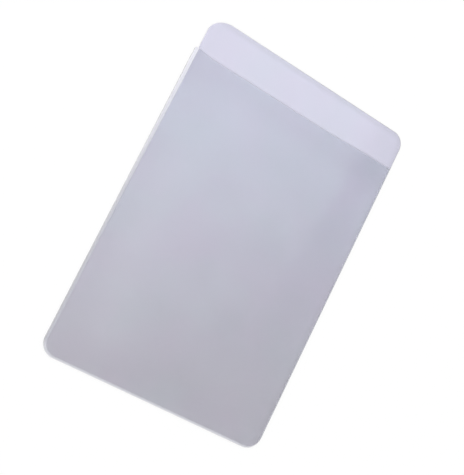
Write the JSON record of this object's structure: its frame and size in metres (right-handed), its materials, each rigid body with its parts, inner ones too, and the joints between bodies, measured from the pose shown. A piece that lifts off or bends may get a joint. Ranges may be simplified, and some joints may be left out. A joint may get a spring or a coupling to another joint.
{
  "type": "semi-rigid card holder",
  "caption": "Clear, tinted card holder: a long and a short plastic sheet fused along the sides and base, open at the mouth under a pull lip.",
  "frame": {"origin": "on the table, under the middle of the whole outline, the lip included", "axes": "+X to the right seen from the short sheet's side, +Y along the holder towards the lip, +Z out of the short front sheet"},
  "size_m": [0.0842, 0.1238, 0.0017],
  "materials": {
    "back_sheet": "clear plastic with a lavender-grey tint, faintly hazy",
    "front_sheet": "clear plastic with a pale grey tint, faintly hazy",
    "left_weld": "fused clear plastic, pressed thin",
    "right_weld": "fused clear plastic, pressed thin",
    "bottom_weld": "fused clear plastic, pressed thin"
  },
  "bodies": {
    "root": {"back_sheet": "back_sheet", "front_sheet": "front_sheet", "left_weld": "left_weld", "right_weld": "right_weld", "bottom_weld": "bottom_weld"}
  },
  "joints": []
}
